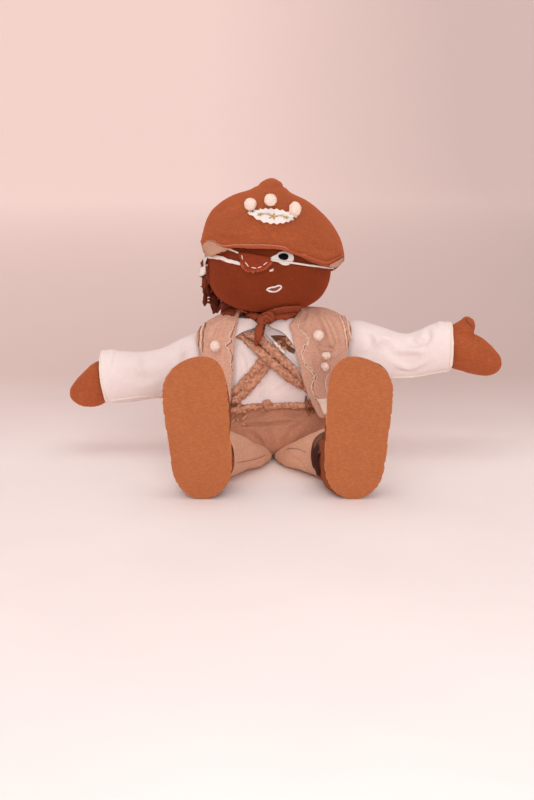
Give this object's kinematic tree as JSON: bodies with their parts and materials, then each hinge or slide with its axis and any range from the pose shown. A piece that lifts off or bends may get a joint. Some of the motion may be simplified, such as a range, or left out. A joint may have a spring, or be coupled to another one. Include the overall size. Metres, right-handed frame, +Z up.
{
  "type": "cotton rag doll",
  "caption": "Seated stuffed cotton doll with half-moon hat, eye patch, open vest, crossed cord straps, shorts over trouser legs and flat-soled cloth shoes.",
  "frame": {"origin": "middle of the seat's flat underside, on the surface the doll sits on", "axes": "+X towards the doll's own left hand, the right of the picture; -Y the way the doll faces; +Z up"},
  "size_m": [0.3866, 0.2163, 0.2432],
  "materials": {
    "terracotta_cloth": "matt brushed cotton",
    "face_cloth": "matt brushed cotton, stretched over stuffing",
    "shirt_cotton": "plain white cotton",
    "vest_cloth": "pinkish beige plain weave",
    "shorts_cloth": "brownish pink plain weave",
    "trouser_cloth": "beige plain weave",
    "cord_cloth": "crinkled rolled cloth cord",
    "white_trim": "white cotton tape, felt and thread",
    "bead_white": "small white painted wood beads, satin",
    "hair_cloth": "torn reddish brown cotton strips",
    "eye_black": "black thread",
    "scarf_cloth": "torn rust-coloured cotton strip",
    "tab_cloth": "cream cotton tape"
  },
  "bodies": {
    "root": {"belt": "cord_cloth", "collar_left": "shirt_cotton", "collar_right": "shirt_cotton", "eye": "eye_black", "eye_patch": "terracotta_cloth", "eye_patch_string": "white_trim", "eye_ring": "white_trim", "hair_lock_back": "hair_cloth", "hair_lock_left": "hair_cloth", "hair_lock_left_back": "hair_cloth", "hair_lock_middle_back": "hair_cloth", "hair_lock_right_back": "hair_cloth", "hair_lock_side": "hair_cloth", "hand_left": "terracotta_cloth", "hand_right": "terracotta_cloth", "hat": "terracotta_cloth", "hat_bead_left": "bead_white", "hat_bead_middle": "bead_white", "hat_bead_right": "bead_white", "hat_patch": "white_trim", "head": "face_cloth", "mouth": "white_trim", "neck_scarf": "scarf_cloth", "nose_stitch": "white_trim", "shirt": "shirt_cotton", "shoe_left": "terracotta_cloth", "shoe_right": "terracotta_cloth", "shorts": "shorts_cloth", "sole_left": "terracotta_cloth", "sole_right": "terracotta_cloth", "strap_over_lower": "cord_cloth", "strap_over_upper": "cord_cloth", "strap_under_lower": "cord_cloth", "strap_under_upper": "cord_cloth", "trouser_leg_left": "trouser_cloth", "trouser_leg_right": "trouser_cloth", "vest": "vest_cloth", "vest_bead_left": "bead_white", "vest_bead_pair_lower": "bead_white", "vest_bead_pair_upper": "bead_white", "vest_bead_right": "bead_white", "vest_tab": "tab_cloth", "vest_trim_left": "white_trim", "vest_trim_right": "white_trim"}
  },
  "joints": []
}
